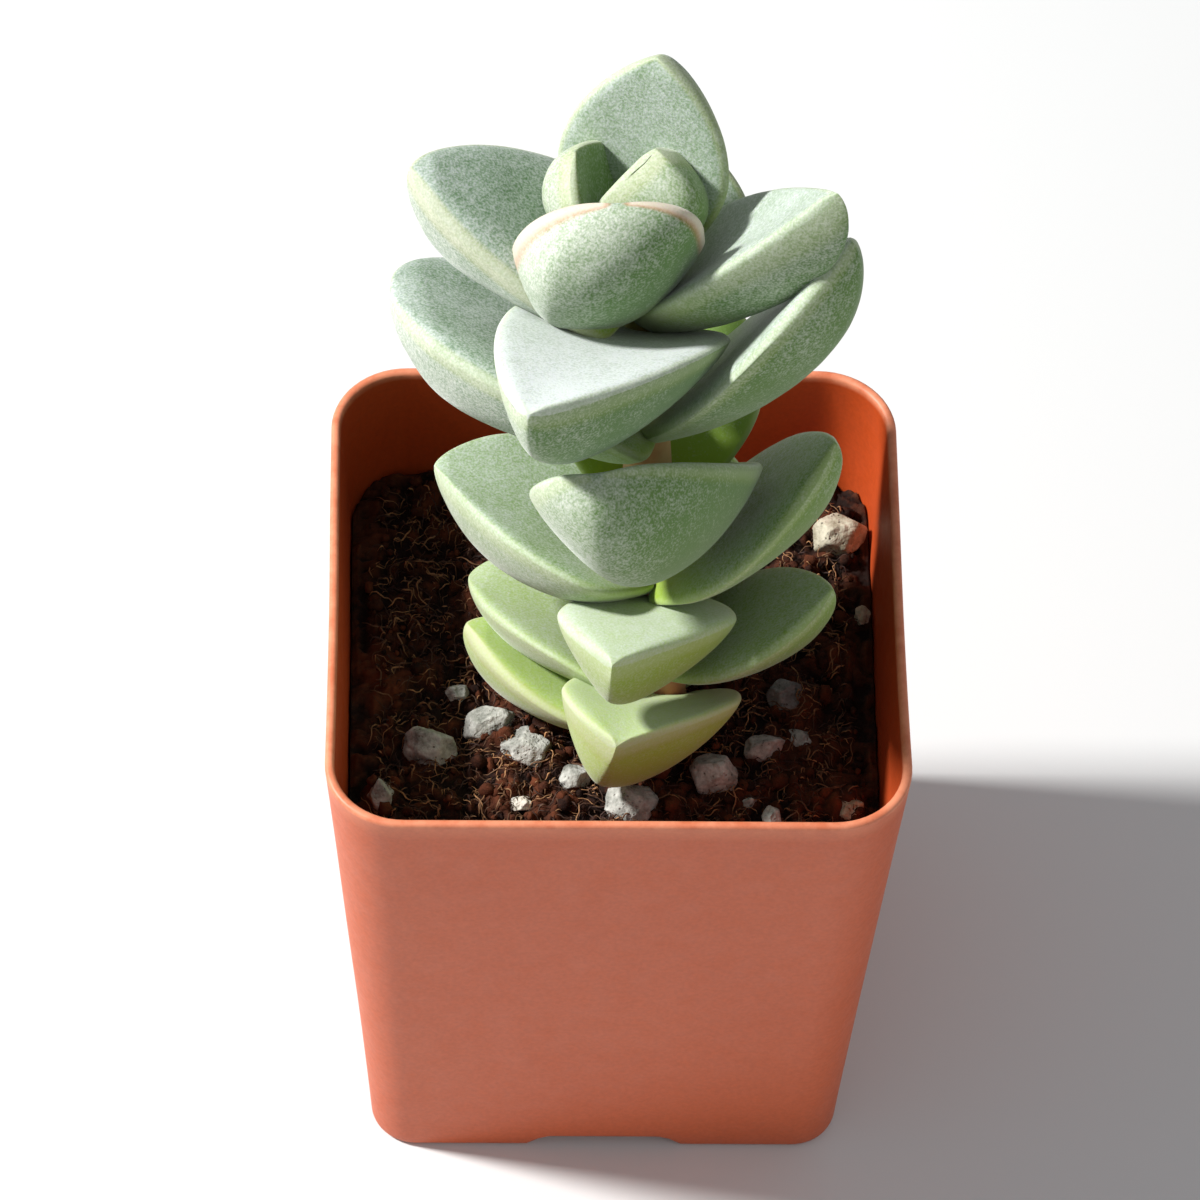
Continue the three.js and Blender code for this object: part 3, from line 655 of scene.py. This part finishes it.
def makeStone(number, stone, material):
    # A ball cut down by flat faces: in each direction it reaches as far as the nearest face lets it,
    # and noise at two sizes breaks the faces up
    polar = np.linspace(0, math.pi, 42)[1:-1, None]
    around = np.linspace(0, 2 * math.pi, 65)[None, :-1]
    rays = np.stack([np.sin(polar) * np.cos(around), np.sin(polar) * np.sin(around),
                     np.cos(polar) * np.ones_like(around)], -1)
    rays = np.concatenate([rays.reshape(-1, 3), [[0, 0, 1], [0, 0, -1]]])
    reach = np.full(len(rays), 1.12)
    for k in range(stoneFacets):
        z = 1 - 2 * (k + 0.5) / stoneFacets
        angle = 2.4 * k + 6.28 * chance(number)
        ring = math.sqrt(1 - z * z)
        normal = np.array([ring * math.cos(angle) + 0.5 * (chance(number * 7 + k) - 0.5),
                           ring * math.sin(angle) + 0.5 * (chance(number * 11 + k) - 0.5), z])
        normal /= np.linalg.norm(normal)
        facing = rays @ normal
        distance = 0.78 + 0.2 * chance(number * 3 + k * 5)
        reach = np.where(facing > 0.05, np.minimum(reach, distance / np.maximum(facing, 0.05)), reach)
    body = rays * reach[:, None] / 2 * np.array(stone["size"])
    rough = 0.16 * blendNoise(body, 0.9, number) + 0.09 * blendNoise(body, 0.35, number + 30)
    body = body + rays * np.minimum(rough, 0.04)[:, None]
    turn = math.radians(stone["turn"])
    x, y = stone["at"]
    lift = soilHeight(x, y) + 0.12 * stone["size"][2]
    turned = np.column_stack([body[:, 0] * math.cos(turn) - body[:, 1] * math.sin(turn) + x,
                              body[:, 0] * math.sin(turn) + body[:, 1] * math.cos(turn) + y,
                              body[:, 2] + lift])
    points, quads, triangles = closedRings(turned[:-2].reshape(40, 64, 3), turned[-2], turned[-1])
    mesh = buildMesh(f"pumice_{number:02d}", points, quads, triangles)
    addPiece(f"pumice_{number:02d}", mesh, material, [f"stone_{number:02d}"])


stoneMaterials = {name: stoneMaterial(name, look) for name, look in stoneLooks.items()}
for number, stone in stones.items():
    makeStone(number, stone, stoneMaterials[stone["look"]])
print("stones made")


# Plant: it stands a little in front of the middle and leans back and to the left

plant = {
    "base": (4.6, -5.5, 49.5),
    "leanBack": 15,
    "leanLeft": 3.6,
    "stemLength": 60,
    "stemRoot": 20,
    "stemFoot": 3.4,
    "stemTip": 1.1,
    "skin": "#B9745A",
    "skinPale": "#C79A72",
    "skinGreen": "#B6BE6E",
}


def leaning(points):
    # From the plant's own upright frame to where it stands
    back, left = math.radians(plant["leanBack"]), math.radians(plant["leanLeft"])
    turned = Matrix.Rotation(-left, 3, "Y") @ Matrix.Rotation(-back, 3, "X")
    return points @ np.array(turned).T + np.array(plant["base"])


# A leaf's numbers, as in the solids: node, turn, lift at base and tip, length, width and thickness, its
# form (sideways bend, place of the keel, roll, cup) and its outline (where it is widest, width of the
# base, fullness of the tip, softness of the keel, height and sharpness of a broader margin). Then its
# looks: age from 0 young and grey to 1 old and yellow-green, blush, how pink its margin is, and
# paintedLightBloom, how much more bloom is painted on its upper face: raised on leaves the key light
# strikes, which is painted light, and lowered on leaves in shade, which is painted shade.
usualOutline = (0.42, 0.5, 0, 0.26)
leaves = {
    "leaf_01_right": {"node": 59.3, "turn": 323, "lift": (76, 79), "size": (12, 13.8, 6.6),
                      "form": (0.5, -0.15, 13, 0.29), "outline": (0.32, 0.5, -0.1, 0.5),
                      "age": 0.2, "blush": 0.15},
    "leaf_01_left": {"node": 59.2, "turn": 185, "lift": (50, 86), "size": (12.5, 16, 4.6),
                     "form": (-1, -0.38, 20, 0.3), "outline": (0.1, 0.67, 0.3, 0.4),
                     "age": 0.2, "blush": 0.15},
    "leaf_02_front": {"node": 53.8, "turn": 241, "lift": (32, 82), "size": (20.3, 19, 6.4),
                      "form": (-4, 0.53, -24, 0.28), "outline": (0.47, 0.47, 1, 0.85),
                      "age": 0.1, "blush": 1.0},
    "leaf_02_back": {"node": 57.5, "turn": 73, "lift": (79, 87), "size": (21, 17.5, 6),
                     "form": (1.8, 0.1, 6, 0.12), "age": 0.1, "blush": 0.12},
    "leaf_03_left": {"node": 55, "turn": 190, "lift": (42, 19), "size": (24.3, 19.5, 10),
                     "form": (3.6, 0, 20, 0.02), "outline": (0.15, 0.5, 0.13, 0.3, 1.8, 5),
                     "age": 0.0, "blush": 0.25},
    "leaf_03_right": {"node": 51.3, "turn": 343, "lift": (45, 45), "size": (30.5, 15.5, 7),
                      "form": (7, 0.4, 0, 0.26), "outline": (0.32, 0.4, -0.24, 0.4),
                      "age": 0.1, "blush": 0.0},
    "leaf_04_front": {"node": 48.1, "turn": 260, "lift": (35, 5), "size": (30, 21, 10),
                      "form": (5.4, 0.13, 5, 0.26), "outline": (0.32, 0.45, 0, 0.5),
                      "age": 0.1, "blush": 0.0, "paintedLightBloom": 0.56},
    "leaf_04_back": {"node": 47.5, "turn": 85, "lift": (44, 52), "size": (20, 20, 7.5),
                     "form": (2.6, 0.15, 0, 0.08), "age": 0.1, "blush": 0.2, "paintedLightBloom": -0.1},
    "leaf_05_left": {"node": 38.5, "turn": 187, "lift": (43, 18), "size": (26.7, 26, 8.8),
                     "form": (5.8, -0.07, -3, 0.17), "outline": (0.16, 0.5, 0.83, 0.3, 1.8, 5),
                     "age": 0.0, "blush": 0.1},
    "leaf_05_right": {"node": 38.8, "turn": 340, "lift": (41, 59), "size": (34, 22, 6.2),
                      "form": (2, 0.15, 5, 0.02), "age": 0.15, "blush": 0.0},
    "leaf_06_front": {"node": 27.3, "turn": 284, "lift": (28, 62), "size": (28.8, 22, 8.6),
                      "form": (9.5, 0.3, 3, 0.45), "outline": (0.34, 0.78, 0.8, 0.2, 2.2, 4),
                      "age": 0.15, "blush": 0.0},
    "leaf_06_back": {"node": 28, "turn": 86, "lift": (35, 47), "size": (24, 20.5, 8),
                     "form": (2.7, 0.15, 0, 0.08), "age": 0.3, "blush": 0.0, "paintedLightBloom": -0.6},
    "leaf_07_left": {"node": 19.4, "turn": 183, "lift": (36, 9), "size": (22.2, 20.5, 7.4),
                     "form": (7, -0.12, 5, 0.3), "outline": (0.39, 0.4, 0, 0.27),
                     "age": 0.25, "blush": 0.0},
    "leaf_07_right": {"node": 19, "turn": 351, "lift": (38, 53), "size": (26, 21, 4.8),
                      "form": (1.6, 0.1, 1, 0.04), "age": 0.3, "blush": 0.0, "paintedLightBloom": -0.4},
    "leaf_08_front": {"node": 16.3, "turn": 274, "lift": (29, -2), "size": (17, 17.5, 8.5),
                      "form": (5.2, 0.13, 7, 0.03), "outline": (0.42, 0.45, -0.3, 0.35),
                      "age": 0.7, "blush": 0.0, "paintedLightBloom": 0.45},
    "leaf_08_back": {"node": 14.5, "turn": 77, "lift": (23, 35), "size": (18, 16, 6.5),
                     "form": (3, 0.15, 0, 0.08), "age": 0.6, "blush": 0.0},
    "leaf_09_left": {"node": 6.5, "turn": 161, "lift": (34, 0), "size": (21, 18.5, 5.5),
                     "form": (2.3, -0.16, -4, 0.3), "outline": (0.17, 0.57, 0.3, 0.33),
                     "age": 0.6, "blush": 0.0},
    "leaf_09_right": {"node": 9, "turn": 352, "lift": (26, 36), "size": (20.5, 17, 4.8),
                      "form": (2.1, 0.05, 1.5, 0.05), "age": 0.4, "blush": 0.0, "paintedLightBloom": -0.3},
    "leaf_10_front": {"node": 3.1, "turn": 279, "lift": (42, -4), "size": (15.4, 17.8, 8.5),
                      "form": (6.6, 0.34, 13, 0.31), "outline": (0.53, 0.51, -0.3, 0.35),
                      "age": 1.0, "blush": 0.2, "paintedLightBloom": 0.4},
    "leaf_10_back": {"node": 5.2, "turn": 77, "lift": (20, 32), "size": (16, 15, 6),
                     "form": (3, 0.15, 0, 0.08), "age": 0.8, "blush": 0.0},
    "leaf_11_left": {"node": 1.6, "turn": 178, "lift": (21, 32), "size": (20.5, 15, 5.8),
                     "form": (2.6, 0.18, -3, 0.09), "age": 0.9, "blush": 0.3},
}
leafForm = {
    "alongSteps": 66,
    "acrossSteps": 46,
    "lip": 1.1,  # the upper face rounds down by this much to the margin
    "lipSharp": 8,  # the higher, the narrower the rounding
    "uneven": 0.10,
    "paintedLightSide": (-0.8, -0.1, 0.6),  # painted light: more bloom is painted where a leaf faces the key light, this way
}
leafColors = {
    "young": "#476E3C",
    "old": "#A6C043",
    "base": "#8CA81E",  # where a leaf comes off the stem
    "bloomUnder": "#DEE0D6",
    # painted light: the upper faces' bloom is bluer and darker, standing in for sky light
    "bloomUpperPaintedSky": "#CBD1CD",
    "line": "#A3B453",
    "lineBlush": "#B9764A",
    # the rim is a light band at the margin, partly the pale margin and partly painted highlight
    "rim": "#DFE3D6",
}


def widthShare(s, widest, base, full):
    # Broad and clasping at the base, widest before the middle, then drawn in to a blunt point
    rise = base + (1 - base) * np.sin(math.pi / 2 * np.clip(s / widest, 0, 1))
    past = np.clip((s - widest) / (1 - widest), 0, 1)
    fall = np.clip(1 - past ** (1.9 + full), 0, 1) ** (1 / (1.25 + full))
    return np.where(s < widest, rise, fall)


def depthShare(s):
    # Deepest past the middle, then round up to the tip
    base, deepest = 0.5, 0.6
    rise = base + (1 - base) * np.sin(math.pi / 2 * np.clip(s / deepest, 0, 1))
    fall = np.clip(1 - np.clip((s - deepest) / (1 - deepest), 0, 1) ** 2.2, 0, 1) ** (1 / 1.7)
    return np.where(s < deepest, rise, fall)


def keelShare(u, keel, soft):
    # How far down the underside reaches at u, from -1 to 1 across the leaf: a soft ridge at the keel
    v = np.where(u > keel, (u - keel) / (1 - keel), (keel - u) / (1 + keel))
    ridge = (np.sqrt(v * v + soft * soft) - soft) / (math.sqrt(1 + soft * soft) - soft)
    return np.clip(1 - ridge ** 1.15, 0, 1) ** (1 / 1.35)


def makeLeaf(name, leaf, material):
    # Rings along a middle line that curves from the first lift to the second. A ring runs over the
    # upper face, which is nearly flat, and back under the keel. The margins are rounded by a lip.
    length, width, thick = leaf["size"]
    sickle, keel, roll, cup = leaf["form"]
    outline = leaf.get("outline", usualOutline)
    widest, base, full, soft, margin, crisp = (*outline, leafForm["lip"], leafForm["lipSharp"])[:6]
    turn, roll = math.radians(leaf["turn"]), math.radians(roll)
    out = np.array([math.cos(turn), math.sin(turn), 0])
    side = np.array([math.sin(turn), -math.cos(turn), 0])
    upward = np.array([0, 0, 1.0])
    s = 1 - (1 - np.linspace(0, 1, leafForm["alongSteps"] + 1)) ** 1.35
    lift = np.radians(leaf["lift"][0] + (leaf["lift"][1] - leaf["lift"][0]) * s)
    between = (lift[1:] + lift[:-1]) / 2
    travel = length * np.diff(s)
    runOut = np.concatenate([[0], np.cumsum(travel * np.cos(between))])
    runUp = np.concatenate([[0], np.cumsum(travel * np.sin(between))])
    middle = leaf["node"] * upward + np.outer(0.6 + runOut, out) + np.outer(runUp, upward)
    face = np.outer(np.cos(lift), upward) - np.outer(np.sin(lift), out)
    across = side * math.cos(roll) + face * math.sin(roll)
    face = face * math.cos(roll) - side * math.sin(roll)
    half = width / 2 * widthShare(s, widest, base, full)[:, None]
    depth = thick * depthShare(s)[:, None]
    centre = middle + across * (sickle * s ** 1.8)[:, None]
    steps = leafForm["acrossSteps"]
    turnRound = np.linspace(0, math.pi, steps + 1)[:-1]
    u = np.concatenate([np.cos(turnRound), -np.cos(turnRound)])[None, :]
    upper = np.concatenate([np.ones(steps), np.zeros(steps)])[None, :]
    lip = np.minimum(margin, 0.3 * depth)
    rise = half * cup * (1 - 0.5 * s[:, None]) * u * u + 0.5 * lip
    rounding = np.sqrt(np.clip(1 - np.abs(u) ** crisp, 0, 1)) - 1
    top = rise + 0.05 * half * s[:, None] * (1 - u * u) + lip * rounding
    bottom = rise - lip - (depth - lip) * keelShare(u, keel, soft)
    height = np.where(upper > 0.5, top, bottom)
    grid = centre[:, None] + across[:, None] * (half * u)[..., None] + face[:, None] * height[..., None]
    uneven = blendNoise(grid, 5.0, 21) * 0.7 + blendNoise(grid, 2.2, 22) * 0.3
    swell = leafForm["uneven"] * smoothStep(0, 0.1, s)[:, None] * smoothStep(1, 0.93, s)[:, None]
    grid = grid + face[:, None] * (uneven * swell * np.where(upper > 0.5, 1, -1))[..., None]
    rings = leaning(grid)
    points, quads, triangles = closedRings(rings[:-1], rings[0].mean(0), rings[-1].mean(0))
    mesh = buildMesh(name + "_skin", points, quads, triangles)
    ends = [0.0, 1.0]
    spread = np.ones_like(height)
    fields = {
        "along": s[:, None] * spread,
        "edge": half * (1 - np.abs(u)) * spread,
        "upper": upper * spread,
    }
    for key, values in fields.items():
        setAttribute(mesh, key, np.concatenate([values[:-1].ravel(), ends]))
    # Painted light: paintedLight is how far each point faces the key light's side; the material paints
    # more bloom there, so lit sides look whiter
    normals = np.empty(len(points) * 3)
    mesh.vertex_normals.foreach_get("vector", normals)
    setAttribute(mesh, "paintedLight", np.clip(normals.reshape(-1, 3) @ leafForm["paintedLightSide"], -1, 1))
    for key in ("age", "blush", "paintedLightBloom"):
        setAttribute(mesh, key, np.full(len(points), leaf.get(key, 0.0)))
    addPiece(name + "_skin", mesh, material, [name])


def leafMaterial():
    # Leaf skin under a waxy bloom: velvety grey-green with fine white grains, greener where the bloom is
    # thin,
    # yellow-green at the base and on old leaves, with a thin line and a light rim along the margin.
    # Painted light:
    # more bloom on the side facing the key light, more or less bloom on chosen upper faces for light and
    # shade, a bluer bloom on upper faces for sky light, and a rim that is partly painted highlight.
    material, tree, shader, place = newMaterial("bloomedLeafSkin", {
        "Roughness": 0.62, "IOR": 1.42, "Specular IOR Level": 0.35, "Subsurface Weight": 0.12,
        "Subsurface Radius": (0.6, 1.0, 0.3), "Subsurface Scale": 0.0012, "Sheen Weight": 0.28,
        "Sheen Roughness": 0.45})
    fields = {}
    for key in ("along", "edge", "upper", "age", "blush", "paintedLight", "paintedLightBloom"):
        fields[key] = addNode(tree, "ShaderNodeAttribute", {"attribute_name": key}, {}).outputs["Fac"]
    noise = {}
    for key, scale, detail in (("grain", 4200.0, 1.5), ("mottle", 1300.0, 2.0), ("cloud", 190.0, 4.0)):
        noise[key] = addNode(tree, "ShaderNodeTexNoise", {}, {
            "Vector": place, "Scale": scale, "Detail": detail, "Roughness": 0.6}).outputs["Fac"]
    green = addNode(tree, "ShaderNodeMix", colorMix,
                    {0: fields["age"], 6: leafColors["young"], 7: leafColors["old"]}).outputs[2]
    base = addNode(tree, "ShaderNodeMapRange", {}, {
        "Value": fields["along"], "From Min": 0.4, "From Max": 0.08, "To Min": 0.0,
        "To Max": 0.8}).outputs[0]
    green = addNode(tree, "ShaderNodeMix", colorMix,
                    {0: base, 6: green, 7: leafColors["base"]}).outputs[2]
    # Painted light: upper faces take a bluer, darker bloom colour that stands in for the sky light
    # falling on them
    bloom = addNode(tree, "ShaderNodeMix", colorMix, {
        0: fields["upper"], 6: leafColors["bloomUnder"], 7: leafColors["bloomUpperPaintedSky"]}).outputs[2]
    cover = addNode(tree, "ShaderNodeMapRange", {}, {
        "Value": noise["cloud"], "From Min": 0.3, "From Max": 0.7, "To Min": 0.06,
        "To Max": 0.26}).outputs[0]
    speck = addNode(tree, "ShaderNodeMapRange", {}, {
        "Value": noise["grain"], "From Min": 0.36, "From Max": 0.66, "To Min": -0.15,
        "To Max": 0.24}).outputs[0]
    cover = addNode(tree, "ShaderNodeMath", {"operation": "ADD"}, {0: cover, 1: speck}).outputs[0]
    speck = addNode(tree, "ShaderNodeMapRange", {}, {
        "Value": noise["mottle"], "From Min": 0.3, "From Max": 0.7, "To Min": -0.1,
        "To Max": 0.1}).outputs[0]
    cover = addNode(tree, "ShaderNodeMath", {"operation": "ADD"}, {0: cover, 1: speck}).outputs[0]
    # Painted light: more bloom where the leaf faces the key light
    cover = addNode(tree, "ShaderNodeMath", {"operation": "MULTIPLY_ADD"},
                    {0: fields["paintedLight"], 1: 0.42, 2: cover}).outputs[0]
    # Painted light and painted shade: each leaf's paintedLightBloom whitens its upper face where light
    # strikes it and greens it where it lies in shade
    paintedLightBloom = addNode(tree, "ShaderNodeMath", {"operation": "ADD"},
                    {0: fields["paintedLightBloom"], 1: 0.05}).outputs[0]
    cover = addNode(tree, "ShaderNodeMath", {"operation": "MULTIPLY_ADD"},
                    {0: fields["upper"], 1: paintedLightBloom, 2: cover}).outputs[0]
    fade = addNode(tree, "ShaderNodeMapRange", {},
                   {"Value": fields["age"], "To Min": 1.0, "To Max": 0.5}).outputs[0]
    cover = addNode(tree, "ShaderNodeMath", {"operation": "MULTIPLY"}, {0: cover, 1: fade}).outputs[0]
    bare = addNode(tree, "ShaderNodeMapRange", {}, {
        "Value": fields["along"], "From Min": 0.05, "From Max": 0.42, "To Min": 0.25,
        "To Max": 1.0}).outputs[0]
    cover = addNode(tree, "ShaderNodeMath", {"operation": "MULTIPLY", "use_clamp": True},
                    {0: cover, 1: bare}).outputs[0]
    color = addNode(tree, "ShaderNodeMix", colorMix, {0: cover, 6: green, 7: bloom}).outputs[2]
    tint = addNode(tree, "ShaderNodeMix", colorMix, {
        0: fields["blush"], 6: leafColors["line"], 7: leafColors["lineBlush"]}).outputs[2]
    # The line and the rim, a light band that is partly the pale margin and partly painted highlight: how
    # far in from the margin each starts and is full, how much of it blush adds and how much is always
    # there
    for far, near, more, least, shown in ((0.9, 0.3, 0.45, 0.22, tint),
                                          (0.6, 0.1, 0.4, 0.12, leafColors["rim"])):
        band = addNode(tree, "ShaderNodeMapRange", {"interpolation_type": "SMOOTHSTEP"},
                       {"Value": fields["edge"], "From Min": far, "From Max": near}).outputs[0]
        strength = addNode(tree, "ShaderNodeMath", {"operation": "MULTIPLY_ADD"},
                           {0: fields["blush"], 1: more, 2: least}).outputs[0]
        band = addNode(tree, "ShaderNodeMath", {"operation": "MULTIPLY"},
                       {0: band, 1: strength}).outputs[0]
        color = addNode(tree, "ShaderNodeMix", colorMix, {0: band, 6: color, 7: shown}).outputs[2]
    tree.links.new(color, shader.inputs["Base Color"])
    bump = addNode(tree, "ShaderNodeBump", {},
                   {"Height": noise["grain"], "Strength": 0.35, "Distance": 0.0001})
    tree.links.new(bump.outputs[0], shader.inputs["Normal"])
    return material


def stemMaterial():
    # Young succulent stem: smooth, pinkish brown, greener towards the tip
    material, tree, shader, place = newMaterial("succulentStem", {
        "Roughness": 0.5, "IOR": 1.45, "Subsurface Weight": 0.1, "Subsurface Scale": 0.001})
    patch = addNode(tree, "ShaderNodeTexNoise", {},
                    {"Vector": place, "Scale": 260.0, "Detail": 4.0}).outputs["Fac"]
    patch = addNode(tree, "ShaderNodeMapRange", {},
                    {"Value": patch, "From Min": 0.4, "From Max": 0.65}).outputs[0]
    height = addNode(tree, "ShaderNodeAttribute", {"attribute_name": "height"}, {}).outputs["Fac"]
    skin = addNode(tree, "ShaderNodeMix", colorMix,
                   {0: patch, 6: plant["skin"], 7: plant["skinPale"]}).outputs[2]
    skin = addNode(tree, "ShaderNodeMix", colorMix,
                   {0: height, 6: skin, 7: plant["skinGreen"]}).outputs[2]
    tree.links.new(skin, shader.inputs["Base Color"])
    bump = addNode(tree, "ShaderNodeBump", {}, {"Height": patch, "Strength": 0.3, "Distance": 0.0002})
    tree.links.new(bump.outputs[0], shader.inputs["Normal"])
    return material


def makeStem(material):
    # The solid's own profile, with a low ring at each pair of leaves
    root, length = plant["stemRoot"], plant["stemLength"]
    foot, tip = plant["stemFoot"], plant["stemTip"]
    heights = [-root, -root + 3, 0.35 * length, 0.7 * length, length]
    radii = [foot - 0.8, foot, foot - 0.1, foot - 0.6, tip]
    z = np.linspace(-root, length, 150)
    radius = np.interp(z, heights, radii)
    for node in sorted({leaf["node"] for leaf in leaves.values()}):
        radius = radius + 0.14 * np.exp(-((z - node) / 0.9) ** 2) - 0.03
    around = np.linspace(0, 2 * math.pi, 49)[:-1]
    rings = np.stack([radius[:, None] * np.cos(around), radius[:, None] * np.sin(around),
                      z[:, None] * np.ones_like(around)], -1)
    rings[..., :2] *= (1 + 0.02 * blendNoise(rings, 2.0, 6))[..., None]
    points, quads, triangles = closedRings(leaning(rings), leaning(np.array([0, 0, -root])),
                                           leaning(np.array([0, 0, length + 0.6])))
    mesh = buildMesh("stem_skin", points, quads, triangles)
    green = np.clip((z - 30) / 30, 0, 1)[:, None] * np.ones_like(around)
    setAttribute(mesh, "height", np.concatenate([green.ravel(), [0, 1]]))
    addPiece("stem_skin", mesh, material, ["stem"])


leafLook = leafMaterial()
for name, leaf in leaves.items():
    makeLeaf(name, leaf, leafLook)
makeStem(stemMaterial())
print("plant made")


# Stage: a pale floor, a key light from the left, a weak wide one from the front right, and a plain room

stage = {
    "floor": "#DBDBD9",
    "room": "#F4F8FF",
    "roomStrength": 0.34,
    "key": {"from": (-0.63, 0.08, 0.66), "size": 0.12, "power": 13.5},
    "aim": (0, 0, 0.07),
    "fill": {"from": (0.68, -0.55, 0.4), "size": 0.6, "power": 1.2},
}


def addLight(name, light):
    data = bpy.data.lights.new(name, "AREA")
    data.shape = "DISK"
    data.size = light["size"]
    data.energy = light["power"]
    lamp = bpy.data.objects.new(name, data)
    lamp.location = light["from"]
    aim = Vector(stage["aim"]) - lamp.location
    lamp.rotation_euler = aim.to_track_quat("-Z", "Y").to_euler()
    bpy.context.collection.objects.link(lamp)


def makeStage():
    line = np.array([-1500.0, 1500.0])
    points = [(x, y, 0) for x in line for y in line]
    mesh = buildMesh("floor", points, [(0, 2, 3, 1)])
    floor = bpy.data.objects.new("floor", mesh)
    bpy.context.collection.objects.link(floor)
    # Board painted a matt light grey: it only catches the pot's shadow
    board = {"Roughness": 0.9, "Base Color": stage["floor"], "Specular IOR Level": 0.1}
    mesh.materials.append(newMaterial("paintedBoard", board)[0])
    world = bpy.data.worlds.new("room")
    world.use_nodes = True
    backdrop = world.node_tree.nodes["Background"]
    backdrop.inputs[0].default_value = linearColor(stage["room"])
    backdrop.inputs[1].default_value = stage["roomStrength"]
    bpy.context.scene.world = world
    bpy.context.scene.view_settings.view_transform = "Standard"
    for name in ("key", "fill"):
        addLight(name, stage[name])


makeStage()
print("stage made")
